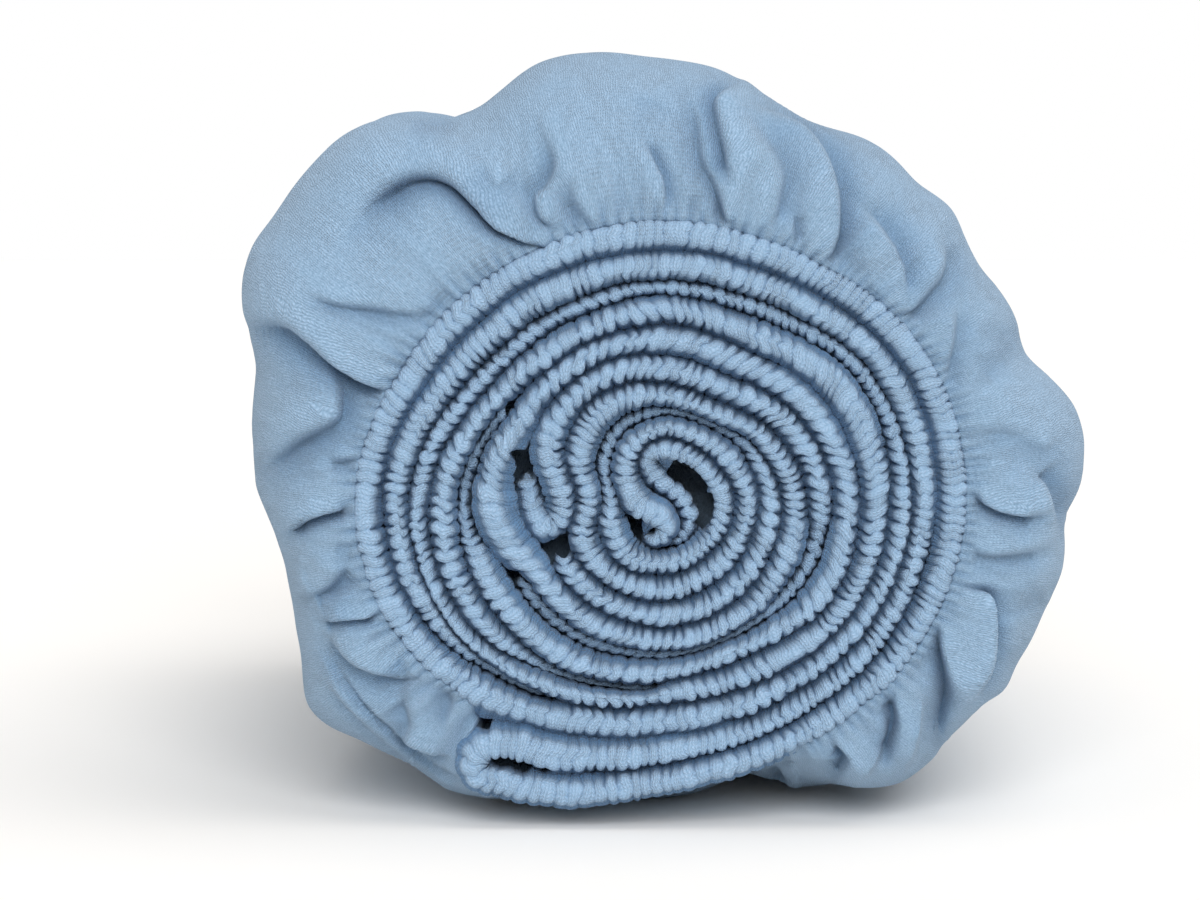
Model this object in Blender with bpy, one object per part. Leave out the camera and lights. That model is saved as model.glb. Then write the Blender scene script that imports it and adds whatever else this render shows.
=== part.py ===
"""A fitted bed sheet rolled up for the cupboard, as one soft solid.

The roll lies on its side along Y.  Its front end, toward -Y, shows the sheet's elastic hem: two
edges of the folded cloth, coiled inward side by side, with the loose end of the fold as a flat
tongue under the coil.  Behind that ring the gathered cloth balloons out in soft lobes and folds,
and it rests on a small flat spot.  Lengths in the tables are millimetres.
"""
import math

import bmesh
import bpy

MM = 0.001

# Driving sizes
LENGTH = 300.0          # along Y, front crest of the hem to the plain rear end
AXIS_X = -1.83          # the coil's centre, from the middle of the roll's width
AXIS_HEIGHT = 84.0      # and over the flat spot
HEM_HALF_WIDTH = 3.4    # half of the rolled hem's width
SHOULDER_DROP = 1.7     # how far a hem's shoulder lies behind its crest
CROWDING = 0.4          # largest share of the distance to its neighbour that a half width takes
GROOVE_DEPTH = 4.5      # grooves between hems: the least, and more where they stand apart
GROOVE_SLOPE = 2.0
GROOVE_MOST = 8.0
LEAST_RADIUS = 3.0      # of the inmost groove
DISH_DEPTH = 4.0        # the middle of the coil lies this far behind the rim
HOLLOW_DEPTH = 20.0     # the hole in the coil's middle: depth, and where its bottom lies
HOLLOW_ANGLE = 195.0
HOLLOW_OFFSET = 2.0
RING_DEPTH = 8.0        # the cloth leaves the outermost hem this far behind the front
RING_INSET = 0.4        # and this much nearer the centre
COLUMN_STEP = 6.0       # degrees from one section of the coil to the next
COIL_START = 234.0      # the tongue's end, counter-clockwise from +X as seen from the front
COIL_END = 2280.0       # where the inmost turn stops
HAIRPIN = 10.0          # degrees over which the slit between the tongue's two hems opens
TONGUE_SPREAD = 12.0    # degrees of cloth that gather behind the tongue's end
REAR_TURNS = 3          # plain folds coiled at the rear end
REAR_DROPS = (0.0, 1.2, 5.0)  # a rear fold's crest, shoulder and groove, in from the end

# Distance of each hem's crest from the coil's centre.  One row per turn, from the tongue inward.
# Columns: clock hours 7, 6, 5, 4, 3, 2, 1, 12, 11, 10, 9, 8 as seen from the front.
FIRST_HOUR = 240.0
HOUR = 30.0
OUTER_EDGE = (
    (83.0, 71.5, 69.0, 71.8, 73.3, 72.3, 67.5, 66.8, 67.3, 69.8, 74.5, 72.0),
    (62.3, 56.5, 56.8, 59.5, 60.8, 59.8, 53.8, 53.0, 52.3, 54.8, 61.8, 61.8),
    (55.5, 49.8, 49.8, 53.8, 54.0, 52.5, 47.0, 47.5, 46.0, 48.8, 55.5, 53.0),
    (44.0, 41.0, 40.0, 41.0, 40.0, 36.8, 31.5, 32.5, 33.8, 32.5, 27.0, 28.5),
    (30.0, 30.3, 29.8, 28.3, 27.3, 25.3, 21.5, 21.5, 20.0, 17.0, 13.5, 15.0),
    (17.0, 17.0, 16.3, 15.8, 15.3, 13.3, 12.5, 12.5, 11.0),
)
INNER_EDGE = (
    (72.5, 65.5, 63.8, 65.0, 65.0, 64.3, 58.8, 58.0, 58.8, 60.8, 67.0, 64.3),
    (58.8, 53.0, 53.0, 56.5, 57.3, 56.0, 50.5, 50.3, 49.3, 52.0, 58.5, 57.0),
    (49.5, 44.3, 43.0, 47.5, 46.5, 43.3, 39.3, 40.3, 40.3, 40.8, 43.8, 37.8),
    (36.8, 36.8, 36.5, 34.5, 33.0, 29.0, 24.5, 25.5, 26.8, 24.3, 18.8, 23.0),
    (24.0, 23.8, 22.8, 21.8, 21.5, 19.0, 17.0, 16.8, 14.8, 11.0, 8.0, 8.5),
    (9.5, 9.5, 9.3, 9.0, 8.8, 8.3, 8.0, 8.0, 7.0),
)

# Stretches where a hem lies back from its neighbours: edge, first and last angle, depth.
RECESSED = (
    ("outer", 600.0, 690.0, 3.0),      # second turn, below the tongue
    ("outer", 745.0, 830.0, 7.0),      # second turn, upper right
    ("outer", 1330.0, 1430.0, 7.0),    # fourth turn, under the tongue side
    ("outer", 1850.0, 2000.0, 6.0),    # fifth turn, behind its neighbour
    ("inner", 585.0, 955.0, 9.0),      # second turn, wholly behind the outer edge
    ("inner", 2035.0, 2290.0, 14.0),   # the hollow in the middle
)

# Distance of the ballooned cloth from the coil's centre, every 15 degrees from +X, counter-clockwise.
LOBES = (
    114.0, 108.0, 104.0, 105.5, 105.0, 107.0, 111.5, 114.5, 112.0, 124.0, 124.5, 114.0,
    109.5, 106.0, 111.5, 108.5, 101.0, 92.0, 88.0, 90.0, 98.0, 108.0, 111.5, 112.0,
)
LOBE_STEP = 15.0

# Main folds that run back from the ring: angle at the ring, turn of the fold by its outer end,
# half width (degrees), depth at the outer end (a negative one stands proud), and reach along the roll.
FOLDS = (
    (117.0, 8.0, 6.0, 7.0, 60.0),
    (109.0, -2.0, 3.5, 4.0, 50.0),
    (89.0, 5.0, 3.5, 3.5, 45.0),
    (77.0, 6.0, 3.5, 5.0, 80.0),
    (62.0, 9.0, 3.5, 5.0, 50.0),
    (53.0, 14.0, 4.0, 6.0, 70.0),
    (41.0, 2.0, 3.5, 4.0, 50.0),
    (20.0, 2.0, 4.0, 4.0, 60.0),
    (359.0, 3.0, 4.0, 5.0, 50.0),
    (335.0, 0.0, 4.0, 4.0, 50.0),
    (318.0, -6.0, 4.0, -6.0, 60.0),
    (307.0, -4.0, 4.0, 8.0, 60.0),
    (299.0, -2.0, 3.5, -5.0, 40.0),
    (159.0, -2.0, 4.5, 7.0, 80.0),
    (167.0, 8.0, 4.5, 6.0, 60.0),
    (182.0, 4.0, 3.5, 5.0, 50.0),
    (194.0, 3.0, 3.5, 5.0, 50.0),
    (203.0, -3.0, 3.5, 5.0, 40.0),
    (216.0, 6.0, 6.0, -5.0, 60.0),
)

# How far the cloth has swelled from the ring to its full girth: distance behind the front, share.
SWELL = ((8.5, 0.22), (11.0, 0.5), (18.0, 0.76), (31.0, 0.92), (50.0, 1.0), (80.0, 1.0))
# The rest of the roll, back to the rear end: distance behind the front, share of the full girth.
TAPER = ((130.0, 0.985), (190.0, 0.97), (240.0, 0.95), (268.0, 0.88), (287.0, 0.77), (297.0, 0.64))
REAR_FACE = 0.56        # the rear coil's share of the girth


def between(values, place, closed=False):
    """Smooth curve through evenly spaced values, read at a fractional place."""
    count = len(values)
    low = math.floor(place)
    part = place - low

    def value(index):
        if closed:
            return values[index % count]
        return values[max(0, min(count - 1, index))]

    before, here, there, after = (value(low + step) for step in (-1, 0, 1, 2))
    slope = (there - before) / 2.0
    end_slope = (after - here) / 2.0
    square, cube = part * part, part * part * part
    return (here * (2.0 * cube - 3.0 * square + 1.0) + there * (3.0 * square - 2.0 * cube)
            + slope * (cube - 2.0 * square + part) + end_slope * (cube - square))


EDGES = {
    "outer": [radius for turn in OUTER_EDGE for radius in turn],
    "inner": [radius for turn in INNER_EDGE for radius in turn],
}


def edge_radius(edge, turn):
    """Distance of a hem's crest from the centre, at an angle counted on from turn to turn."""
    return between(EDGES[edge], (turn - FIRST_HOUR) / HOUR)


def ramp(value, start, end):
    """0 before start, 1 after end, smooth between."""
    share = max(0.0, min(1.0, (value - start) / (end - start)))
    return share * share * (3.0 - 2.0 * share)


def crest_depth(edge, turn):
    """How far a hem's crest lies behind the front of the coil."""
    radius = edge_radius(edge, turn)
    depth = DISH_DEPTH * (1.0 - ramp(radius, 15.0, 70.0))
    for name, first, last, recess in RECESSED:
        if name == edge:
            depth += recess * ramp(turn, first - 12.0, first + 12.0) * (1.0 - ramp(turn, last - 12.0, last + 12.0))
    return depth


def coil_crests(turn):
    """Radii at this angle of the outer and the inner edge, of what follows them inward, and of what
    lies outside them; None where nothing does."""
    outer, inner = edge_radius("outer", turn), edge_radius("inner", turn)
    follows = edge_radius("outer", turn + 360.0) if turn + 360.0 <= COIL_END else None
    outside = edge_radius("inner", turn - 360.0) if turn - 360.0 >= COIL_START else None
    return outside, outer, inner, follows


def half_width(before, crest, after):
    """A hem's half width, less where its neighbours crowd it."""
    gaps = [abs(crest - other) for other in (before, after) if other is not None]
    return min([HEM_HALF_WIDTH] + [CROWDING * gap for gap in gaps])


def coil_section(turn):
    """(radius, depth) pairs across both hems and the groove that follows each, outside first."""
    outside, outer, inner, follows = coil_crests(turn)
    outer_depth, inner_depth = crest_depth("outer", turn), crest_depth("inner", turn)
    outer_half = half_width(outside, outer, inner)
    inner_half = half_width(outer, inner, follows)
    if follows is None:
        far, far_depth = max(LEAST_RADIUS, inner - inner_half - 1.0), inner_depth
    else:
        far = follows + half_width(inner, follows, edge_radius("inner", turn + 360.0))
        far_depth = crest_depth("outer", turn + 360.0)
    slit = ramp(turn, COIL_START, COIL_START + HAIRPIN)
    points = []
    for crest, half, depth, next_out, next_depth in (
        (outer, outer_half, outer_depth, inner + inner_half, inner_depth),
        (inner, inner_half, inner_depth, far, far_depth),
    ):
        gap = max(0.0, crest - half - next_out)
        groove = max(depth, next_depth) + GROOVE_DEPTH + min(GROOVE_MOST, GROOVE_SLOPE * gap)
        groove = depth + SHOULDER_DROP + (groove - depth - SHOULDER_DROP) * slit
        points += [(crest + half, depth + SHOULDER_DROP), (crest, depth), (crest - half, depth + SHOULDER_DROP)]
        points.append(((crest - half + next_out) / 2.0, groove))
    return points


def place(angle, radius, depth):
    """A point from its angle and distance about the coil's centre and its distance from the front."""
    turn = math.radians(angle)
    x = AXIS_X + radius * math.cos(turn)
    z = max(0.0, AXIS_HEIGHT + radius * math.sin(turn))
    return (x * MM, (depth - LENGTH / 2.0) * MM, z * MM)


def add_loop(bm, points):
    return [bm.verts.new(point) for point in points]


def bridge(bm, first, second):
    """Faces between two closed loops, the second further along the surface from the front's middle.
    Either may have twice as many corners as the other."""
    count = min(len(first), len(second))
    for index in range(count):
        after = (index + 1) % count
        if len(first) == len(second):
            bm.faces.new((first[index], second[index], second[after], first[after]))
        elif len(second) > count:
            half, end = second[2 * index + 1], second[2 * after]
            bm.faces.new((first[index], second[2 * index], half))
            bm.faces.new((first[index], half, first[after]))
            bm.faces.new((first[after], half, end))
        else:
            half, end = first[2 * index + 1], first[2 * after]
            bm.faces.new((first[2 * index], second[index], half))
            bm.faces.new((half, second[index], second[after]))
            bm.faces.new((half, second[after], end))


def add_coil(bm):
    """The coiled hems.  Returns the outline that the cloth leaves from, counter-clockwise."""
    steps = round((COIL_END - COIL_START) / COLUMN_STEP)
    lap = round(360.0 / COLUMN_STEP)
    rows = []
    for index in range(steps + 1):
        turn = COIL_START + index * COLUMN_STEP
        rows.append([bm.verts.new(place(turn, radius, depth)) for radius, depth in coil_section(turn)])
    last = len(rows[0]) - 1
    for index in range(steps):
        here, there = rows[index], rows[index + 1]
        for item in range(last):
            bm.faces.new((here[item + 1], here[item], there[item], there[item + 1]))
        if index + lap + 1 <= steps:
            inside, inside_next = rows[index + lap][0], rows[index + lap + 1][0]
            bm.faces.new((inside, here[last], there[last], inside_next))
    hollow = [rows[index][last] for index in range(steps - lap, steps + 1)] + rows[steps][:last][::-1]
    middle = bm.verts.new(place(HOLLOW_ANGLE, HOLLOW_OFFSET, HOLLOW_DEPTH))
    for index, corner in enumerate(hollow):
        bm.faces.new((middle, corner, hollow[(index + 1) % len(hollow)]))
    return [rows[index][0] for index in range(lap + 1)] + rows[0][:0:-1]


def read_table(table, where):
    """Second column of a table at a place in its first, straight between rows."""
    for (start, low), (end, high) in zip(table, table[1:]):
        if where <= end:
            return low + (high - low) * max(0.0, where - start) / (end - start)
    return table[-1][1]


def cloth_point(root, angle, share, depth):
    """A point of the ballooned cloth: root is the (angle, radius) where it leaves the ring."""
    root_angle, root_radius = root
    girth = between(LOBES, angle / LOBE_STEP, closed=True) * read_table(TAPER, depth)
    radius = root_radius + (girth - root_radius) * share
    heading = math.radians(90.0 * share)
    for ring_angle, lean, half, fold, reach in FOLDS:
        off = (angle - ring_angle - lean * share + 180.0) % 360.0 - 180.0
        amount = fold * math.exp(-((off / half) ** 2) - (depth / reach) ** 2) * ramp(share, 0.0, 0.5)
        radius -= amount * math.sin(heading)
        depth += max(0.0, amount) * math.cos(heading)
    return place(root_angle + (angle - root_angle) * share, radius, depth)


def polar(vert):
    """Angle and distance of a corner about the coil's centre."""
    x, z = vert.co.x / MM - AXIS_X, vert.co.z / MM - AXIS_HEIGHT
    return math.degrees(math.atan2(z, x)) % 360.0, math.hypot(x, z)


def cloth_columns(outline):
    """For each corner of the ring's outline: where the cloth leaves it, and at which angle it ends."""
    lap = round(360.0 / COLUMN_STEP)
    crowd = len(outline) - lap + 1
    columns = []
    for index, corner in enumerate(outline):
        angle, radius = polar(corner)
        if 0 < index < lap:
            end = angle
        else:
            order = (index - lap) % len(outline)
            end = COIL_START + TONGUE_SPREAD * ((order + 1.0) / (crowd + 1.0) - 0.5)
        columns.append(((end + (angle - end + 180.0) % 360.0 - 180.0, radius), end))
    return columns


def finer(columns):
    """The same columns with one more between each two."""
    result = []
    for (root, end), (next_root, next_end) in zip(columns, columns[1:] + columns[:1]):
        step = (next_end - end) % 360.0
        root_step = (next_root[0] - root[0] + 180.0) % 360.0 - 180.0
        middle = (root[0] + root_step / 2.0, (root[1] + next_root[1]) / 2.0)
        result += [(root, end), (middle, end + step / 2.0)]
    return result


def add_cloth(bm, outline):
    """The ballooned cloth from the ring back to the rear face.  Returns its last loop and columns."""
    columns = cloth_columns(outline)
    many = finer(columns)
    loop = add_loop(bm, [place(root[0], root[1] - RING_INSET, RING_DEPTH) for root, _ in columns])
    bridge(bm, outline, loop)
    for depth, share in SWELL:
        following = add_loop(bm, [cloth_point(root, end, share, depth) for root, end in many])
        bridge(bm, loop, following)
        loop = following
    for depth, taper in TAPER:
        following = add_loop(bm, [cloth_point(root, end, 1.0, depth) for root, end in columns])
        bridge(bm, loop, following)
        loop = following
    return loop, columns


def add_rear(bm, loop, columns):
    """Plain coiled folds over the rear end."""
    rows = REAR_TURNS * len(REAR_DROPS)
    for row in range(rows):
        points = []
        for _, end in columns:
            wind = (end - COIL_START) % 360.0 / 360.0 * len(REAR_DROPS)
            girth = between(LOBES, end / LOBE_STEP, closed=True) * REAR_FACE
            drop = REAR_DROPS[row % len(REAR_DROPS)]
            points.append(place(end, girth * (1.0 - (row + wind) / (rows + len(REAR_DROPS) + 1.0)), LENGTH - drop))
        following = add_loop(bm, points)
        bridge(bm, loop, following)
        loop = following
    middle = bm.verts.new(place(0.0, 0.0, LENGTH - REAR_DROPS[-1]))
    for index, corner in enumerate(loop):
        bm.faces.new((corner, middle, loop[(index + 1) % len(loop)]))


def fabric():
    material = bpy.data.materials.new("soft_knit")
    material.use_nodes = True
    shader = material.node_tree.nodes["Principled BSDF"]
    shader.inputs["Base Color"].default_value = (0.33, 0.49, 0.64, 1.0)
    shader.inputs["Roughness"].default_value = 0.95
    shader.inputs["Metallic"].default_value = 0.0
    return material


def rolled_sheet():
    bm = bmesh.new()
    outline = add_coil(bm)
    loop, columns = add_cloth(bm, outline)
    add_rear(bm, loop, columns)
    mesh = bpy.data.meshes.new("rolled_sheet")
    bm.to_mesh(mesh)
    bm.free()
    mesh.shade_smooth()
    mesh.materials.append(fabric())
    roll = bpy.data.objects.new("rolled_sheet", mesh)
    bpy.context.scene.collection.objects.link(roll)
    return roll


def main():
    for old in list(bpy.data.objects):
        bpy.data.objects.remove(old, do_unlink=True)
    rolled_sheet()


main()
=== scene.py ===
"""A fitted sheet rolled up for the cupboard: its gathered hem coiled at the front, the cloth ballooning
behind it.  Laid out as an add-on, run as a script.  The tables are in millimetres: positions on the
face are (right, up) from the coil's centre, and depths are counted back from the hem's front."""
import math

import bpy
import numpy as np
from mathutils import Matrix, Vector
from mathutils.kdtree import KDTree


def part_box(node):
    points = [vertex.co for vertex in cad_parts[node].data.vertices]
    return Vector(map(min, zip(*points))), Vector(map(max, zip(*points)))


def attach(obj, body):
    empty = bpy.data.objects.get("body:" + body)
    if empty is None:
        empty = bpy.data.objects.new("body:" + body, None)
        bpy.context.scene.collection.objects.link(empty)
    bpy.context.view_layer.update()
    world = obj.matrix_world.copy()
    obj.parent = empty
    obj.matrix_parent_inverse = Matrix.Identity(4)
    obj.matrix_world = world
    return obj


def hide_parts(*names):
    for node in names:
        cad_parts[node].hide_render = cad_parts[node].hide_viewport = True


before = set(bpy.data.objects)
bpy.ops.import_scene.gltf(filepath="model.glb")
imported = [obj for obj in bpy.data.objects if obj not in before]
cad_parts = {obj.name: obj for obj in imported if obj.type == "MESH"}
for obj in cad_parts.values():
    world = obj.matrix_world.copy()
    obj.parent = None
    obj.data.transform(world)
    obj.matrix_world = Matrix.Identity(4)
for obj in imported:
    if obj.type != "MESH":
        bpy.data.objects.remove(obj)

bl_info = {
    "name": "Rolled fitted sheet",
    "version": (1, 0, 0),
    "blender": (4, 5, 0),
    "location": "3D View > Sidebar > Sheet",
    "description": "Dresses the packed roll with its gathered hem, ballooned cloth and soft knit",
    "category": "Object",
}

MM = 0.001
ROLL = "rolled_sheet"
LOW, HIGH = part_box(ROLL)
FRONT_Y = LOW[1] / MM
LENGTH = (HIGH[1] - LOW[1]) / MM
AXIS_X = -1.83          # the coil's centre, right of the roll's middle
AXIS_HEIGHT = 84.0      # and over the surface that the roll lies on

# ---------------------------------------------------------------------------------------------
# Form
# ---------------------------------------------------------------------------------------------

# Hem strands: first angle, then the crest's distance from the coil's centre every 30 degrees
# counter-clockwise, about a turn to a row.
STRAND_ROWS = {
    "rim_outer": (240.0, (
        (83.0, 71.5, 69.0, 71.8, 73.3, 72.3, 67.5, 66.8, 67.3, 69.8, 74.5, 72.0),
        (62.3, 56.5, 56.8, 59.5, 60.8, 59.8, 53.8, 53.0, 52.3, 54.8, 61.8, 61.8),
        (55.5, 49.8, 49.8, 53.8, 54.0, 52.5, 47.0, 47.5, 46.0, 48.8, 55.5, 55.5),
        (52.3, 49.5),
    )),
    "rim_inner": (240.0, (
        (72.5, 65.5, 63.8, 65.0, 65.0, 64.3, 58.8, 58.0, 58.8, 60.8, 67.0, 64.3),
        (59.5,),
    )),
    "middle": (150.0, (
        (45.5, 50.5, 48.8, 47.8, 44.3, 43.0, 47.5, 46.5, 43.3, 39.3, 40.3, 40.3, 40.8),
        (43.8, 37.8, 36.8, 36.8, 36.5, 34.5, 33.0, 29.0, 24.5, 25.5, 26.8, 24.3),
        (18.8, 23.0, 24.0, 23.8, 22.8, 21.8, 21.5, 19.0, 17.8, 17.5, 15.0, 11.0),
    )),
    "curl": (210.0, (
        (41.5, 41.5, 40.5, 40.0, 41.0, 40.0, 36.8, 31.5, 32.5, 33.8, 32.5, 24.8),
    )),
    "inmost": (210.0, (
        (30.3, 30.0, 30.3, 29.8, 28.3, 27.3, 25.3, 21.5, 21.5, 20.0, 17.0, 13.3),
        (15.0, 17.0, 17.0, 16.3, 15.8, 15.3, 13.3, 12.5, 12.5),
    )),
}

# Where a strand turns off its coil: (right, up, depth) of its crest.
TONGUE_TIP = ((-44.5, -62.8, 0.5), (-47.2, -64.8, 0.5), (-48.0, -67.8, 0.5), (-46.8, -70.6, 0.5),
              (-44.2, -71.9, 0.5))
STRAND_ENDS = {
    "middle": ((-8.0, 1.0, 3.5), (-5.8, -2.4, 3.2), (-2.2, -4.0, 3.0), (0.6, -5.6, 3.0), (1.6, -8.4, 3.2),
               (-0.3, -11.0, 4.0), (-3.0, -11.2, 6.0), (-4.6, -9.6, 9.0)),
    "curl": ((-24.6, -3.5, 4.0), (-26.0, -7.0, 4.0), (-28.6, -8.2, 4.5), (-31.2, -6.5, 5.0),
             (-32.5, -2.5, 6.5), (-33.0, 1.5, 9.0), (-34.5, 5.5, 12.0)),
    "inmost": ((-3.0, 11.6, 5.0), (-4.4, 9.2, 5.5), (-3.2, 6.0, 6.0), (0.5, 2.6, 6.5), (4.4, 0.3, 7.0),
               (7.0, -3.3, 7.5), (7.3, -7.6, 8.0), (5.0, -11.2, 9.5), (1.8, -12.8, 12.0)),
}

# Stretches where a hem lies back from its neighbours: strand, first and last angle, depth.
RECESSED = (
    ("rim_outer", 600.0, 690.0, 1.5),
    ("rim_outer", 730.0, 860.0, 4.2),
    ("rim_outer", 860.0, 960.0, 2.0),
    ("rim_outer", 1310.0, 1400.0, 10.0),
    ("rim_inner", 255.0, 345.0, 1.5),
    ("rim_inner", 578.0, 640.0, 10.0),
    ("middle", 150.0, 192.0, 10.0),
    ("curl", 150.0, 350.0, 8.0),
    ("inmost", 150.0, 212.0, 7.0),
    ("inmost", 385.0, 545.0, 7.0),
)
DISH_DEPTH = 3.5        # the coil's middle lies this far behind its rim
DISH = (12.0, 70.0)     # and sinks to it between these distances from the centre

HOUR = 30.0             # angle between two values of a row
TONGUE_ANGLE = 240.0    # where the rim's outer edge leaves the tongue
RECESS_SLOPE = 14.0     # degrees over which a strand sinks back or comes forward again

# Hem: widths and gathers
HALF_WIDTHS = {"rim": 3.7, "middle": 2.9, "curl": 2.8, "inmost": 2.3, "rear": 3.4}
WIDTH_SHARE = 0.72      # of the room beside a crest, taken up by its rounded face
END_ROUNDING = 3.0
SAMPLE = 0.42           # spacing of the points along a strand's route
NEIGHBOUR_REACH = 16.0  # a strand further off than this doesn't crowd its neighbour
OWN_STRETCH = 14.0      # nor does the strand itself over this length
FREE_SPREAD = 4.2       # room beside a strand with no neighbour
MEETING = 0.4           # neighbours lap over each other by this much in the valley between them
BESIDE = 0.8            # a neighbour lies beside a strand if this share of its gap is crosswise
ROOM_SHARES = (0.40, 0.62)      # least and most of that gap that a strand may fill
SHARE_BY_DEPTH = 0.02   # how much more of it for each millimetre that the neighbour lies deeper
ROUTE_BLUR, DEPTH_BLUR, ROOM_BLUR = 7, 15, 13   # points over which each is smoothed
RIB_PITCH = 3.0
RIB_WIDTHS = (0.70, 1.34)       # narrowest and widest rib, in pitches
RIB_MARGIN = 0.4        # the first crease lies this far from the strand's end
CREST_CREASE = 0.85     # depth of the creases between ribs on the crest
FLANK_CREASE = 1.7      # and on the flanks
CREASE_SPREAD = (0.5, 1.3)      # shallowest and deepest crease, in shares of that depth
MERGED_RIBS = 0.1       # share of the creases that lie between two ribs that run together
MERGED_CREASE = 0.4     # depth left to such a crease, as a share
CREASE_SHADE = 0.42     # painted shade: how much darker the cloth's colour is made in the deepest creases
VALLEY_SHADE = 0.70     # and in the valleys between hems
FULL_HALF_WIDTH = 3.0   # a narrower hem's creases are shallower in proportion
RIB_SWELL = 0.7         # how far the fullest ribs stand out on the flanks
SWELL_SPREAD = (-0.6, 1.0)      # flattest and fullest rib, in shares of that
RIB_DRIFT = 0.28        # how far a rib strays to and fro across the hem, in ribs
STRAND_SEEDS = {"rim": 11, "middle": 23, "curl": 37, "inmost": 53, "rear": 61}
STITCH_UNIT = 10.0      # millimetres to a unit of the cloth's UV map
RIB_UNIT = 3.2          # width of a rib on that map

# Sections along one rib: place between its two creases, and how deep it lies in them.
RIB_FORM = ((0.0, 1.0), (0.10, 0.60), (0.25, 0.17), (0.50, 0.0), (0.75, 0.17), (0.90, 0.60))

# A hem's section from its crest to the middle of the valley beside it: share of the half width, share
# of the spare room beyond it, depth, further depth for each millimetre of that room, and place.
HEM_SECTION = (
    (0.22, 0.0, 0.05, 0.0, 0.22),
    (0.44, 0.0, 0.24, 0.0, 0.44),
    (0.64, 0.0, 0.62, 0.0, 0.64),
    (0.80, 0.0, 1.25, 0.0, 0.80),
    (0.92, 0.0, 2.15, 0.0, 0.92),
    (1.00, 0.05, 3.40, 0.1, 1.05),
    (1.00, 0.15, 4.90, 0.3, 1.20),
    (1.00, 0.5, 6.40, 0.5, 1.35),
    (1.00, 1.0, 7.40, 0.6, 1.45),
    (1.00, 1.0, 15.0, 0.8, 1.60),
)

# Hollows of the coil, where no cloth closes the valley: (right, up, radius).
HOLLOWS = (
    (4.5, 6.0, 3.0), (8.5, 3.0, 3.2), (10.5, -2.0, 3.0), (10.5, -6.0, 2.4),
    (-5.75, -5.25, 2.6), (-35.2, 9.5, 2.3), (-25.0, -11.5, 1.6),
    (-45.5, -57.3, 2.0), (-40.5, -67.0, 3.0), (-35.5, -67.8, 2.8), (-30.0, -68.2, 2.2),
)
HOLLOW_EDGE = 0.8       # how soft their edges are

# Where the ribs are coarser or lie aslant: strand, first and last angle, pitch, lean in ribs.
RIB_STRETCHES = (
    ("rim_outer", 225.0, 300.0, 3.0, 0.1),
    ("rim_outer", 300.0, 420.0, 2.4, 0.1),
    ("rim_outer", 420.0, 560.0, 2.9, 0.1),
    ("rim_outer", 560.0, 740.0, 3.2, 0.1),
    ("rim_outer", 740.0, 1075.0, 2.8, -0.15),
    ("rim_outer", 1075.0, 1180.0, 2.9, -0.35),
    ("rim_outer", 1180.0, 1400.0, 3.0, 0.15),
    ("rim_inner", 225.0, 660.0, 2.7, 0.1),
    ("middle", 150.0, 330.0, 3.0, 0.2),
    ("middle", 330.0, 600.0, 3.4, 0.35),
    ("middle", 600.0, 800.0, 2.5, 0.2),
    ("middle", 800.0, 1300.0, 2.4, 0.1),
    ("curl", 150.0, 600.0, 3.0, 0.25),
    ("inmost", 150.0, 400.0, 2.8, 0.25),
    ("inmost", 400.0, 1300.0, 2.3, 0.15),
)

# Outline of the ballooned cloth as the camera sees it: (right, up) points on the face, counter-clockwise
# from the right.  Along the bottom, where the hem hides it, the cloth lies on the floor.
OUTLINE = (
    # right side, upward
    (104, 5), (105, 16), (102.5, 24.5), (98, 29.5), (90, 36.5), (87.5, 46.5), (84.5, 51.5), (79, 58),
    (75.5, 65), (72, 73), (63, 79), (58, 85), (54.5, 88),
    # top, leftward
    (43.5, 92.5), (36.5, 96), (27, 101), (19, 105.5), (13, 108), (4, 109.5), (-6, 110.5), (-16, 111.5),
    (-23, 111), (-31, 109), (-36, 106), (-41, 102), (-46, 98), (-52, 95.5), (-63, 96), (-73, 95),
    (-81, 91),
    # left side, downward
    (-86, 86), (-92, 79), (-97.5, 70.5), (-102.5, 63.5), (-104.5, 55), (-103.5, 42), (-101, 34.5),
    (-102, 15), (-102, 5), (-97.5, -5), (-94, -15), (-92.5, -25), (-90.5, -37.5), (-89.5, -50.5),
    (-84.5, -55.5),
    # bottom, rightward
    (-75.5, -59), (-62.5, -65.5), (-53, -71), (-40, -75), (-10, -75), (8, -73.5), (20, -68), (32, -71.5),
    (44, -71), (59, -69.5), (68.5, -62), (78.5, -50), (85.5, -47),
    # and up again
    (88, -40), (95, -27.5), (100, -16), (100, -5),
)
OUTLINE_SOFTENING = 3   # degrees over which its corners are rounded
TAPER = ((0.0, 1.0), (60.0, 1.0), (130.0, 0.985), (190.0, 0.97), (240.0, 0.95), (300.0, 0.93))
SWELL_DEPTH = 43.0      # the cloth reaches its full girth this far behind the ring
RING_SIDE = 2.2         # it leaves the outermost hem this far outside its crest
RING_STEP = (345.0, 358.0)      # and steps back out to the tongue between these degrees past it
CLOTH_START = 1.5       # and this far behind it
TUCK = 8.0              # its edge is tucked in this much further back, under the hem
CLOTH_FRONT = 0.6       # no fold comes further forward
CLOTH_REAR = 0.5        # or nearer to the rear end
FLOOR_ROOM = 0.3        # its girth ends this far over the floor
FLOOR_GAP = 0.4         # and its folds this far
BULGE = 2.5             # how far it puffs forward between the two
REAR_SHOULDER = 252.0   # here it turns in over the rear end
REAR_START = 3.5        # and it meets the rear coil this far from the rear end
REAR_EDGE_HOLD = np.array([[0.75], [0.4], [0.1]])   # shares of the relief left in its last rows
CLOTH_GIRTH = 105.0     # mean distance from the coil's centre
CLOTH_COLUMNS = 840
SWELL_ROWS = 74
BODY_ROWS = 28
REAR_ROUND_ROWS = 14
TROUGH = 1.3            # the folds' depths and lips below are made this much stronger
LIP = 1.4
OVERHANG = 0.8          # how far a fold's lip leans over its trough, for each millimetre of lip
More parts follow.
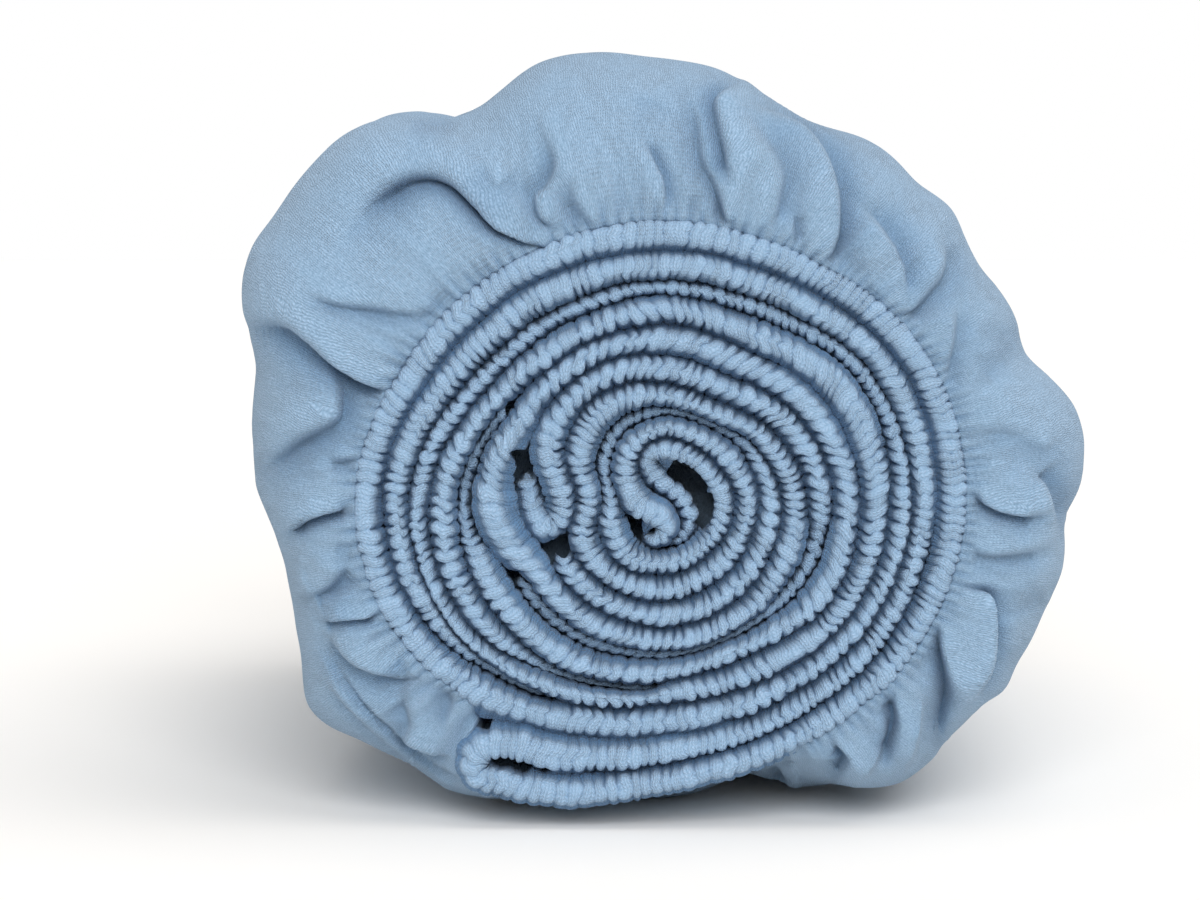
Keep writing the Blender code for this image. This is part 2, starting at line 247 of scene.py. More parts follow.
EDGE_HOLD = 0.35        # share of the folds' depth that is left where the cloth turns out of sight
FORWARD = 0.75          # share of a fold's depth that lies along the roll and not outward
FOLD_SHADE = 0.11       # painted shade: how much darker the cloth's colour is made beside a fold's lip, for each millimetre of depth
FOLD_REACH = 75.0       # how far past the girth the folds run back
# A fold's section across its route, in half widths.  Its trough, lip and shade each spread this far
# toward the lip's side and away from it, and its lip and overhang stand this far to that side.
TROUGH_SPREAD = (0.42, 1.45)
LIP_SPREAD = (2.2, 0.5)
SHADE_SPREAD = (0.5, 1.9)
LIP_PLACE = 1.15
OVERHANG_PLACE = 0.8
RIB_FADE = 5.0          # the hem's creases run this far into the cloth
RIB_CREASE = 1.1        # and are this deep where they leave it
GATHER_WIDTH = 0.7      # half their width
GATHER_SHADE = 0.7      # share of the hem's painted crease shade that is left in them
PLEAT = 2.8             # small pleats along the ring: height, and how far they run
PLEAT_FADE = 13.0
PLEAT_TOP, PLEAT_GROOVE, PLEAT_STRAY = 0.55, 1.4, 0.6    # shares of the height
PUFF = 0.9              # uneven puffs
LONG_FOLD = 2.4         # lazy folds along the roll
REAR_PLEAT = 2.4
BACKING_DEPTH = 27.0    # cloth behind the coiled hem
BACKING_CREASE = 2.2    # how far its creases rise and sink at its edge
BACKING_DISH = 5.0      # how much deeper its middle lies
BACKING_EYE = 0.002     # share of its reach left open there
BACKING_COLUMNS = 360
BACKING_ROWS = 30

# Camera: the point of the face that it looks at, its distance from there, its tilt and its lens.
TARGET = (-15.75, 12.5)
CAMERA_DISTANCE = 900.0
CAMERA_TILT = 5.0
CAMERA_LENS = 108.0
CAMERA_SENSOR = 36.0
# Lights: where each comes from, and how far it spreads in degrees.
LIGHTS = {"overhead": ((0.42, -0.10, 1.0), 50.0), "front": ((0.05, -1.0, 0.60), 40.0)}
PAINTED_SHADE_TONE = (0.10, 0.29, 0.46, 1.0)   # painted shade: what the cloth's colour is multiplied by where it lies deepest, in creases, valleys and folds
PAINTED_GROOVE_SHADE_HUE = (0.88, 1.0, 1.06)          # painted shade: the cloth's colour between its stitches is made bluer by these factors, as shade on it looks

# Folds of the ballooned cloth: route on the face as (right, up) points, half width at both ends,
# depth of the trough, height of the lip beside it, and the lip's side (1 left of the route, -1 right).
FOLDS = (
    # upper left: the big pouch and its shaded underside
    (((-75.5, 69), (-71.5, 75.5), (-66, 80.3), (-59, 82), (-52.5, 80), (-46.5, 74.5), (-40.5, 68.5),
      (-31, 63.2)), 5.2, 1.8, 5.0, 3.0, 1),
    (((-46, 84), (-43.3, 79.3), (-41, 77.5), (-37, 81)), 4.0, 4.0, 1.8, 0.5, 1),
    (((-31, 92), (-27.5, 84), (-29.5, 78.5), (-32, 76), (-31, 71), (-28, 68)), 3.2, 2.2, 2.6, 1.2, 1),
    (((-24, 79), (-22, 73), (-19.5, 69.5), (-16.5, 68)), 3.0, 2.0, 1.6, 0.6, 1),
    (((-63, 96), (-57, 95), (-53, 96)), 3.0, 2.0, 3.0, 0.0, 1),
    # top
    (((-8, 99), (-2, 98), (2, 96)), 5.0, 4.0, 1.2, 0.0, 1),
    (((-4.3, 89), (-2, 84), (-0.2, 80), (0.5, 74)), 1.8, 1.5, 2.2, 1.0, -1),
    (((18, 104.5), (13.8, 100), (14.8, 92.5), (16.3, 86), (16.5, 82)), 2.5, 2.5, 4.0, 2.0, 1),
    (((6, 101), (8.5, 94), (10, 85), (13, 79), (15.5, 71), (16.5, 69)), 3.5, 2.2, 3.2, 1.2, 1),
    (((9, 76), (8, 71)), 2.0, 1.6, 1.4, 0.4, 1),
    (((21.5, 96), (28, 87.5), (30.5, 81), (29.5, 75), (28, 69)), 4.5, 2.6, 2.6, 1.0, -1),
    (((25, 99), (34, 95), (40.5, 87.5), (43.8, 77.5), (43.8, 67.5), (42, 59.5)), 3.5, 3.0, 4.2, 2.0, -1),
    (((33, 71), (33, 65)), 1.8, 1.5, 2.0, 0.8, -1),
    # upper right
    (((50, 74), (56.5, 66), (60, 58.5), (60.5, 52)), 3.5, 2.6, 3.0, 1.4, -1),
    (((71, 65), (70.5, 57), (65.5, 50.5), (61, 46.5)), 4.0, 3.0, 3.0, 1.6, -1),
    (((74, 47.5), (73, 40), (71.5, 32.5), (70.5, 28.5)), 3.0, 2.4, 2.2, 1.0, -1),
    (((88, 44), (86, 36), (80, 30)), 6.0, 5.0, 1.6, 0.6, 1),
    # right
    (((77.5, 15), (86, 16.5), (95, 12), (99, 14)), 4.0, 5.0, 1.5, 0.8, 1),
    (((78, 1), (84.5, -2.5), (92, -3.8)), 2.2, 2.6, 3.6, 1.8, 1),
    (((94, 6), (97, 2), (99.5, -6)), 3.0, 4.0, 4.2, 1.6, -1),
    (((77, -13), (84, -14), (94, -13)), 2.6, 3.0, 2.2, 1.0, 1),
    (((77, -22.5), (81.5, -25), (82.5, -32), (82, -40), (79, -48)), 1.6, 2.6, 3.2, 2.2, -1),
    (((96, -24), (90, -28), (84, -29)), 4.0, 4.0, 1.6, 0.6, 1),
    # lower right: the deep pleats
    (((69, -32.5), (71.5, -41), (72.5, -50), (70, -60)), 2.0, 3.4, 5.5, 2.2, 1),
    (((60.5, -45), (63.5, -51), (62.5, -59), (60, -66)), 2.4, 2.6, -2.8, 0.0, 1),
    (((57.5, -50), (58.5, -56), (56, -64)), 1.8, 2.4, 5.0, 0.8, 1),
    (((51, -54), (55.5, -57), (54, -62.5), (49, -69)), 2.2, 2.6, -2.8, 0.0, 1),
    (((43, -61.5), (46, -65), (43.5, -68.5)), 1.8, 2.2, 4.5, 0.8, 1),
    (((32, -65), (33.5, -70)), 1.8, 1.8, -2.2, 0.0, 1),
    (((28, -66.5), (30, -70.5)), 1.6, 1.6, 3.0, 0.0, 1),
    # left
    (((-105, 42.5), (-96, 43.5), (-90, 40), (-83, 34), (-78, 31), (-70.5, 27)), 5.0, 2.4, 4.5, 2.2, 1),
    (((-80, 34), (-70.5, 27)), 2.2, 2.0, 2.6, 0.0, 1),
    (((-88, 50.5), (-80, 48.5), (-71, 47.5), (-60.5, 46)), 2.0, 3.0, 2.2, 1.0, 1),
    (((-59, 43), (-55.5, 47), (-52, 49)), 2.0, 1.8, 2.4, 0.8, -1),
    (((-81.5, 31), (-81, 25), (-82, 20), (-91, 15), (-99, 8)), 3.4, 4.5, 4.0, 2.0, -1),
    (((-83, 9), (-77, 9.5)), 2.0, 2.0, 1.6, 0.6, 1),
    (((-93, -8), (-90, -5), (-85, -3), (-79.5, -2)), 2.0, 2.2, 4.2, 2.0, 1),
    (((-82, -11.5), (-78, -12)), 3.0, 3.0, 1.6, 0.0, 1),
    (((-79, -17), (-83, -22), (-87, -24)), 3.6, 3.6, 3.6, 1.2, -1),
    (((-91, -14), (-89, -21), (-83, -25), (-78, -23)), 3.0, 3.0, -1.6, 0.0, 1),
    # lower left
    (((-85, -30.5), (-79.5, -29.5), (-72, -29)), 1.8, 1.8, 3.2, 1.6, 1),
    (((-84, -35), (-78, -41), (-69, -44.5), (-63, -45)), 3.0, 3.4, 3.0, 1.8, 1),
    (((-66, -39), (-64.5, -42)), 3.0, 3.0, 3.0, 0.0, 1),
    (((-86, -39), (-80.5, -47.5), (-73, -55), (-65.5, -62.5), (-54, -71)), 1.7, 1.5, -1.8, 0.0, 1),
    (((-82, -42), (-76, -50.5), (-69, -57.5), (-61, -64.5), (-52, -69.5)), 1.0, 1.2, 2.2, 0.0, 1),
    (((-84, -46.5), (-78, -53.5), (-70, -61), (-60, -69)), 1.2, 1.2, 1.8, 0.0, 1),
    (((-66, -60.5), (-62, -61.3), (-55.5, -63.8)), 1.8, 1.8, 3.0, 1.6, 1),
    (((-65.5, -50), (-63.5, -56), (-65.5, -60)), 3.0, 3.0, 2.4, 1.2, 1),
    (((-57, -46), (-53, -50), (-55, -56)), 3.0, 2.6, 2.2, 1.0, 1),
)

# Rear end: the plain folds coiled there.
REAR_CREST = 62.0       # the outermost fold's distance from the coil's centre
REAR_PITCH = 8.2        # distance from fold to fold
REAR_TURNS = 7.0
REAR_LAP = 0.6          # how far each fold reaches past the middle of the valley beside it
REAR_WOBBLE = 2.3       # how far the folds stray from a true coil
REAR_CREASES = 5.0      # spacing of the loose creases across them
REAR_STEP = (354.0, 359.5)      # degrees between which the cloth steps back out behind the fold's end
REAR_SOFTNESS = 0.7     # 0 is gathered as tightly as the hem, 1 isn't gathered
REAR_DEPTH = 2.0        # the outermost fold's depth, counted from the rear end
REAR_DISH_DEPTH = 4.0   # how much deeper the middle lies
REAR_DISH = (8.0, 55.0)         # and between which distances from the centre it sinks
REAR_STRAY = 1.2        # how far the folds stray in depth

# Random curves and fields: how many values each draws before it repeats.
CURVE_VALUES = 4096
FIELD_ROWS = 256

# ---------------------------------------------------------------------------------------------
# Helpers
# ---------------------------------------------------------------------------------------------


def hermite(values, place, closed=False):
    """Smooth curve through evenly spaced values at fractional places."""
    values = np.asarray(values, float)
    place = np.asarray(place, float)
    low = np.floor(place).astype(int)
    part = place - low

    def value(index):
        return values[index % len(values)] if closed else values[np.clip(index, 0, len(values) - 1)]

    before, here, there, after = (value(low + step) for step in (-1, 0, 1, 2))
    start, end = (there - before) / 2.0, (after - here) / 2.0
    square, cube = part * part, part ** 3
    return (here * (2 * cube - 3 * square + 1) + there * (3 * square - 2 * cube)
            + start * (cube - 2 * square + part) + end * (cube - square))


def ramp(value, start, end):
    """0 before start, 1 after end, smooth between."""
    share = np.clip((np.asarray(value, float) - start) / (end - start), 0.0, 1.0)
    return share * share * (3.0 - 2.0 * share)


def wander(place, seed):
    """Smooth random curve between -1 and 1, one new value for each whole place."""
    values = np.random.default_rng(seed).uniform(-1.0, 1.0, CURVE_VALUES)
    return hermite(values, np.asarray(place) % CURVE_VALUES, closed=True)


def wander_2d(x, y, seed, period_x=64):
    """Smooth random field between -1 and 1, repeating after period_x places along x."""
    grid = np.random.default_rng(seed).uniform(-1.0, 1.0, (FIELD_ROWS, period_x))
    x, y = np.asarray(x, float), np.asarray(y, float)
    row, column = np.floor(y).astype(int), np.floor(x).astype(int)
    v, u = y - row, x - column
    u, v = u * u * (3 - 2 * u), v * v * (3 - 2 * v)

    def value(step_row, step_column):
        return grid[(row + step_row) % FIELD_ROWS, (column + step_column) % period_x]

    return ((value(0, 0) * (1 - u) + value(0, 1) * u) * (1 - v)
            + (value(1, 0) * (1 - u) + value(1, 1) * u) * v)


def distances(points):
    """Distance of each point from the first, along the line that joins them."""
    return np.concatenate([[0.0], np.linalg.norm(np.diff(points, axis=0), axis=1).cumsum()])


def blurred(values, window):
    """Moving average along the first axis, taken twice."""
    kernel = np.ones(window) / window
    pad = window // 2
    values = np.asarray(values, float)
    for _ in range(2):
        ends = [(pad, pad)] + [(0, 0)] * (values.ndim - 1)
        wide = np.pad(values, ends, mode="reflect", reflect_type="odd")
        values = np.apply_along_axis(lambda line: np.convolve(line, kernel, "valid"), 0, wide)
    return values


def normals_of(points, closed_columns=False):
    """Unit normals of a grid of points."""
    along = np.gradient(points, axis=0)
    if closed_columns:
        across = (np.roll(points, -1, axis=1) - np.roll(points, 1, axis=1)) / 2.0
    else:
        across = np.gradient(points, axis=1)
    normal = np.cross(along, across)
    return normal / np.maximum(np.linalg.norm(normal, axis=2, keepdims=True), 1e-9)


def grid_piece(name, points, uv, painted_shade, closed_columns=False, flip=False):
    """A smooth-shaded mesh over a grid of points in millimetres, with a UV map in centimetres and, as a
    point attribute, how much painted shade each point gets, from 0 to 1."""
    rows, columns = points.shape[:2]
    wide = columns if closed_columns else columns - 1
    row, column = np.meshgrid(np.arange(rows - 1), np.arange(wide), indexing="ij")
    after = (column + 1) % columns
    corners = np.stack([row * columns + column, row * columns + after,
                        (row + 1) * columns + after, (row + 1) * columns + column], axis=-1).reshape(-1, 4)
    ends = np.where(after < column, columns, after)
    uv_corners = np.stack([uv[row, column], uv[row, ends], uv[row + 1, ends], uv[row + 1, column]],
                          axis=-2).reshape(-1, 4, 2)
    if flip:
        corners, uv_corners = corners[:, ::-1], uv_corners[:, ::-1]
    mesh = bpy.data.meshes.new(name)
    mesh.vertices.add(rows * columns)
    mesh.vertices.foreach_set("co", (points.reshape(-1, 3) * MM).astype(np.float32).ravel())
    mesh.loops.add(corners.size)
    mesh.loops.foreach_set("vertex_index", corners.ravel().astype(np.int32))
    mesh.polygons.add(len(corners))
    mesh.polygons.foreach_set("loop_start", np.arange(0, corners.size, 4, dtype=np.int32))
    mesh.uv_layers.new(name="cloth").data.foreach_set("uv", uv_corners.astype(np.float32).ravel())
    shades = mesh.attributes.new("painted_shade", "FLOAT", "POINT")
    shades.data.foreach_set("value", painted_shade.astype(np.float32).ravel())
    mesh.update(calc_edges=True)
    mesh.validate()
    mesh.shade_smooth()
    piece = bpy.data.objects.new(name, mesh)
    bpy.context.scene.collection.objects.link(piece)
    return piece


def dress(piece, material):
    """Gives a finished piece its cloth and its body."""
    piece.data.materials.append(material)
    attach(piece, "root")


# ---------------------------------------------------------------------------------------------
# Hem strands
# ---------------------------------------------------------------------------------------------


def coil_route(strand):
    """(right, up, depth, rib pitch, lean) rows along the coiled part of a strand."""
    first, turns = STRAND_ROWS[strand]
    radii = [radius for turn in turns for radius in turn]
    angle = first + np.arange(0.0, HOUR * (len(radii) - 1) + 0.1, 2.0)
    radius = hermite(radii, (angle - first) / HOUR)
    depth = DISH_DEPTH * (1.0 - ramp(radius, *DISH))
    for name, start, end, recess in RECESSED:
        if name == strand:
            depth = depth + (recess * ramp(angle, start - RECESS_SLOPE, start + RECESS_SLOPE)
                             * (1.0 - ramp(angle, end - RECESS_SLOPE, end + RECESS_SLOPE)))
    pitch, lean = np.full(len(angle), RIB_PITCH), np.zeros(len(angle))
    for name, start, end, local_pitch, local_lean in RIB_STRETCHES:
        if name == strand:
            inside = (angle >= start) & (angle <= end)
            pitch[inside], lean[inside] = local_pitch, local_lean
    turn = np.radians(angle)
    return np.column_stack([radius * np.cos(turn), radius * np.sin(turn), depth, pitch, lean])


def with_ribs(points):
    """Route rows for (right, up, depth) points off the coil."""
    return np.array([(*point, RIB_PITCH, 0.0) for point in points])


def even(route):
    """The same route at even spacing, softened a little."""
    length = distances(route[:, :2])
    where = np.linspace(0.0, length[-1], int(length[-1] / SAMPLE))
    result = np.column_stack([np.interp(where, length, column) for column in route.T])
    result[:, :2] = blurred(result[:, :2], ROUTE_BLUR)
    result[:, 2:] = blurred(result[:, 2:], DEPTH_BLUR)
    return result


def strand_routes():
    """Every strand's even route.  The rim's two edges are one strand, joined round the tongue's end."""
    outer, inner = coil_route("rim_outer"), coil_route("rim_inner")
    routes = {"rim": even(np.vstack([inner[::-1], with_ribs(TONGUE_TIP), outer]))}
    for strand, points in STRAND_ENDS.items():
        routes[strand] = even(np.vstack([coil_route(strand), with_ribs(points)]))
    return routes


def sideways(route):
    """Unit directions to the right of a route's heading, on the face."""
    heading = np.gradient(route[:, :2], axis=0)
    heading /= np.linalg.norm(heading, axis=1, keepdims=True)
    return np.column_stack([heading[:, 1], -heading[:, 0]])


def rooms(routes):
    """For each strand, how far it may spread on its left and right before it meets its neighbour."""
    places = [(name, index) for name, route in routes.items() for index in range(len(route))]
    tree = KDTree(len(places))
    for order, (name, index) in enumerate(places):
        tree.insert((*routes[name][index, :2], 0.0), order)
    tree.balance()
    spreads = {}
    for name, route in routes.items():
        side = sideways(route)
        room = np.full((len(route), 2), FREE_SPREAD)
        crowded = np.zeros((len(route), 2), bool)
        for index, (right, up, depth) in enumerate(route[:, :3]):
            for found, order, gap in tree.find_range((right, up, 0.0), NEIGHBOUR_REACH):
                other, other_index = places[order]
                if other == name and abs(other_index - index) * SAMPLE < OWN_STRETCH:
                    continue
                across = (found.x - right) * side[index, 0] + (found.y - up) * side[index, 1]
                if abs(across) < BESIDE * gap:
                    continue
                deeper = routes[other][other_index, 2] - depth
                share = min(ROOM_SHARES[1], max(ROOM_SHARES[0], 0.5 + SHARE_BY_DEPTH * deeper))
                column = int(across > 0.0)
                spread = share * gap
                if not crowded[index, column] or spread < room[index, column]:
                    room[index, column] = spread
                    crowded[index, column] = True
        spreads[name] = blurred(room, ROOM_BLUR)
    return spreads


def rib_places(route, seed):
    """Distances along a strand of the creases between its ribs."""
    draws = np.random.default_rng(seed)
    places = [RIB_MARGIN]
    while places[-1] < (len(route) - 1) * SAMPLE - RIB_MARGIN:
        index = min(len(route) - 1, int(places[-1] / SAMPLE))
        places.append(places[-1] + route[index, 3] * draws.uniform(*RIB_WIDTHS))
    return np.array(places)


def hollowness(points):
    """1 where a point of the face lies in one of the coil's hollows, 0 outside them."""
    inside = np.zeros(len(points))
    for right, up, radius in HOLLOWS:
        gap = np.hypot(points[:, 0] - right, points[:, 1] - up)
        inside = np.maximum(inside, 1.0 - ramp(gap, radius - HOLLOW_EDGE, radius + HOLLOW_EDGE))
    return inside


def strand_points(strand, route, spread, places, soft=0.0):
    """Grid of a hem's (right, up, depth) points, gathered into ribs or, where soft, loosely creased,
    each section's place in ribs, and how much painted shade each point gets in its creases and valleys."""
    seed = STRAND_SEEDS[strand]
    draws = np.random.default_rng(seed + 100)
    form = np.array(RIB_FORM)
    section = np.array(HEM_SECTION)
    pitch = np.diff(places)
    nominal = (places[:-1, None] + pitch[:, None] * form[:, 0]).ravel()
    part = np.tile(form[:, 0], len(pitch))
    sunk = np.tile(form[:, 1], len(pitch))
    rib = np.repeat(np.arange(len(pitch)), len(form))

    # creases between the ribs: left flank, crest, right flank
    strength = draws.uniform(*CREASE_SPREAD, (len(places), 3)) * (FLANK_CREASE, CREST_CREASE, FLANK_CREASE)
    strength[draws.random(len(places)) < MERGED_RIBS] *= MERGED_CREASE
    strength[:, 1] *= 0.6 + 0.7 * draws.random(len(places))
    crease = strength[rib] * (1.0 - part)[:, None] + strength[rib + 1] * part[:, None]
    swell = RIB_SWELL * draws.uniform(*SWELL_SPREAD, len(pitch))[rib] * np.sin(np.pi * part)

    # across the hem
    place = np.concatenate([-section[::-1, 4], [0.0], section[:, 4]])
    flank = ramp(np.abs(place), 0.12, 0.85)
    valley = 1.0 - 0.4 * ramp(np.abs(place), 1.0, 1.4)
    side_crease = np.where(place[None, :] < 0.0, crease[:, :1], crease[:, 2:])
    relief = -sunk[:, None] * (crease[:, 1:2] + (side_crease - crease[:, 1:2]) * flank) * valley
    relief += swell[:, None] * flank * valley

    # ribs lean and stray, and the sections follow them
    length = np.arange(len(route)) * SAMPLE
    lean = np.interp(nominal, length, route[:, 4])[:, None] * np.clip(place, -1.2, 1.2)
    stray = RIB_DRIFT * wander_2d(nominal[:, None] / (1.7 * RIB_PITCH), place[None, :] * 1.3 + 9.0, seed + 5)
    along = nominal[:, None] - np.interp(nominal, length, route[:, 3])[:, None] * (lean + stray)
    along = np.clip(along, 0.0, length[-1])
    ends = np.minimum(along, length[-1] - along)
    closing = np.sqrt(1.0 - (1.0 - np.clip(ends / END_ROUNDING, 0.02, 1.0)) ** 2)

    centre = [np.interp(along, length, route[:, column]) + reach * wander(along / 7.0, seed + 1 + column)
              for column, reach in enumerate((0.22, 0.22, 0.4))]
    side = sideways(route)
    aside = [np.interp(along, length, side[:, column]) for column in (0, 1)]
    across, back = np.zeros_like(along), np.zeros_like(along)
    # Painted shade in the valleys between hems.
    dark = VALLEY_SHADE * np.broadcast_to(ramp(np.abs(place), 0.95, 1.35), along.shape)
    middle = len(section)
    for column, sign, columns in ((0, -1.0, slice(middle - 1, None, -1)), (1, 1.0, slice(middle + 1, None))):
        half = np.minimum(HALF_WIDTHS[strand], WIDTH_SHARE * spread[:, column])
        spare = spread[:, column] - half + MEETING
        spare *= 1.0 - hollowness(route[:, :2] + sign * side * (half + 0.5 * spare)[:, None])
        half, spare = (np.interp(along[:, columns], length, values) for values in (half, spare))
        across[:, columns] = sign * (half * section[:, 0] + spare * section[:, 1])
        narrow = np.clip(half / FULL_HALF_WIDTH, 0.25, 1.0)
        open_side = np.interp(along[:, columns], length, ramp(spread[:, column], 3.7, 4.1))
        back[:, columns] = section[:, 2] * (0.4 + 0.6 * narrow - 0.35 * open_side) + spare * section[:, 3]
        relief[:, columns] *= narrow * (1.0 - 0.5 * open_side)
    # Painted shade: the colour is made darker in the deepest creases and in the valleys.
    painted_shade = 1.0 - (1.0 - CREASE_SHADE * np.clip(-relief / FLANK_CREASE, 0.0, 1.0)) * (1.0 - dark)
    across *= closing
    points = np.stack([centre[0] + aside[0] * across, centre[1] + aside[1] * across,
                       centre[2] + back + (1.0 - closing) * section[5, 2]], axis=-1)
    out = normals_of(points)
    out *= -np.sign(out[:, middle, 2])[:, None, None]
    uneven = wander_2d(along / (2.6 + 9.0 * soft), place[None, :] * 1.1 + 9.0, seed + 6)
    height = relief * (1.0 - soft) + (0.12 + 0.9 * soft) * uneven
    points += out * (height * closing)[:, :, None]
    return points, rib + part, painted_shade * (1.0 - 0.6 * soft)


def strand_piece(name, points, ribs, painted_shade, front=True):
    """Places a strand's points at the roll's front or rear end and makes its mesh, with the stitches
    of its UV map in line with the ribs."""
    crossing = np.linalg.norm(np.diff(points, axis=1), axis=2).cumsum(axis=1)
    crossing = np.hstack([np.zeros((len(points), 1)), crossing])
    crossing -= crossing[:, crossing.shape[1] // 2, None]
    uv = np.stack(np.broadcast_arrays(ribs[:, None] * RIB_UNIT, crossing), axis=-1) / STITCH_UNIT
    return grid_piece(name, placed(points, front), uv, painted_shade, flip=not front)


# ---------------------------------------------------------------------------------------------
# Ballooned cloth
# ---------------------------------------------------------------------------------------------


def ring_radius(angle):
    """Distance of the outermost hem's crest from the coil's centre, with a step behind the tongue."""
    row = STRAND_ROWS["rim_outer"][1]
    radii = [radius for turn in row[:2] for radius in turn]
    place = (angle - TONGUE_ANGLE) % 360.0
    radius = hermite(radii, place / HOUR)
    behind = ramp(place, *RING_STEP)
    return radius * (1.0 - behind) + radii[0] * behind


def rear_radius(angle):
    """Distance of the rear coil's crest from its centre, at an angle counted on from turn to turn."""
    radius = REAR_CREST - REAR_PITCH * angle / 360.0
    return radius + REAR_WOBBLE * radius / REAR_CREST * wander_2d(angle / 40.0, angle / 900.0, 72, 9)


def rear_edge(angles):
    """Where the cloth meets the rear coil's outermost fold, with a step behind that fold's end."""
    behind = ramp(angles, *REAR_STEP)
    return rear_radius(angles) * (1.0 - behind) + rear_radius(0.0) * behind + RING_SIDE


def full_girth(angles):
    """Distance of the cloth from the coil's centre where it is widest, so that the camera sees the
    outline: each of its points is followed from the camera back to the depth of that girth."""
    tilt = math.radians(CAMERA_TILT)
    right, up = (np.array(OUTLINE, float) - TARGET).T
    away = CAMERA_DISTANCE + SWELL_DEPTH * math.cos(tilt)
    rise = (up * away / CAMERA_DISTANCE - SWELL_DEPTH * math.sin(tilt)) / (
        math.cos(tilt) + up * math.sin(tilt) / CAMERA_DISTANCE)
    right = right * (away - rise * math.sin(tilt)) / CAMERA_DISTANCE + TARGET[0]
    rise += TARGET[1]
    every_degree = np.arange(360.0)
    girth = np.interp(every_degree, np.degrees(np.arctan2(rise, right)), np.hypot(right, rise), period=360.0)
    girth = blurred(np.tile(girth, 3), OUTLINE_SOFTENING)[360:720]
    return hermite(girth, angles, closed=True)


def bare_cloth(angles):
    """Grid of the cloth's (right, up, depth) points before its folds, tucked in at both ends."""
    swell = np.linspace(0.0, 1.0, SWELL_ROWS)
    quarter = (swell * math.pi / 2.0)[:, None]
    start = ring_radius(angles) + RING_SIDE
    girth = full_girth(angles)
    downward = -np.sin(np.radians(angles))
    to_floor = (AXIS_HEIGHT - FLOOR_ROOM) / np.maximum(downward, 0.1)
    girth = np.where(downward > 0.1, np.minimum(girth, to_floor), girth)
    under = ramp(downward, 0.80, 0.97)
    place = (angles - TONGUE_ANGLE + 180.0) % 360.0 - 180.0
    start_depth = CLOTH_START + 6.0 * np.exp(-((place + 5.0) / 7.0) ** 2)
    share = np.sin(quarter) * (1.0 - under) + (1.0 - np.cos(quarter)) * under
    radius = start - 1.5 * under + (girth - start + 1.5 * under) * share
    depth = (start_depth + (SWELL_DEPTH - start_depth) * (1.0 - np.cos(quarter)) * (1.0 - under)
             + (SWELL_DEPTH - start_depth) * swell[:, None] * under
             - BULGE * np.sin(math.pi * swell[:, None]) ** 1.3 * (1.0 - under))
    body_depth = np.linspace(SWELL_DEPTH, REAR_SHOULDER, BODY_ROWS + 1)[1:]
    body_share = np.interp(body_depth, *zip(*TAPER))
    turn = np.linspace(0.0, math.pi / 2.0, REAR_ROUND_ROWS + 1)[1:]
    round_depth = REAR_SHOULDER + (LENGTH - REAR_START - REAR_SHOULDER) * np.sin(turn) ** 0.8
    edge = rear_edge(angles)
    round_radius = edge + (girth * body_share[-1] - edge) * np.cos(turn)[:, None]
    back_depth = np.concatenate([body_depth, round_depth])
    radius = np.vstack([radius, girth * body_share[:, None], round_radius])
    depth = np.vstack([depth, np.repeat(back_depth[:, None], len(angles), axis=1)])
    for row, turned_in in ((0, TUCK), (-1, -TUCK)):
        radius[row] -= RING_SIDE + 1.0
        depth[row] += turned_in
    turn = np.radians(angles)
    return np.stack([radius * np.cos(turn), radius * np.sin(turn), depth], axis=-1)


def seen(points):
    """Where the camera sees (right, up, depth) points, in millimetres on the face's plane."""
    tilt = math.radians(CAMERA_TILT)
    right = points[..., 0] - TARGET[0]
    up = points[..., 1] - TARGET[1]
    away = CAMERA_DISTANCE + points[..., 2] * math.cos(tilt) - up * math.sin(tilt)
    rise = points[..., 2] * math.sin(tilt) + up * math.cos(tilt)
    return np.stack([right * CAMERA_DISTANCE / away + TARGET[0],
                     rise * CAMERA_DISTANCE / away + TARGET[1]], axis=-1)


def smooth_line(points, per_step=7):
    """A curve through given points, as closely spaced ones."""
    points = np.asarray(points, float)
    place = np.linspace(0.0, len(points) - 1.0, (len(points) - 1) * per_step + 1)
    return np.column_stack([hermite(points[:, 0], place), hermite(points[:, 1], place)])


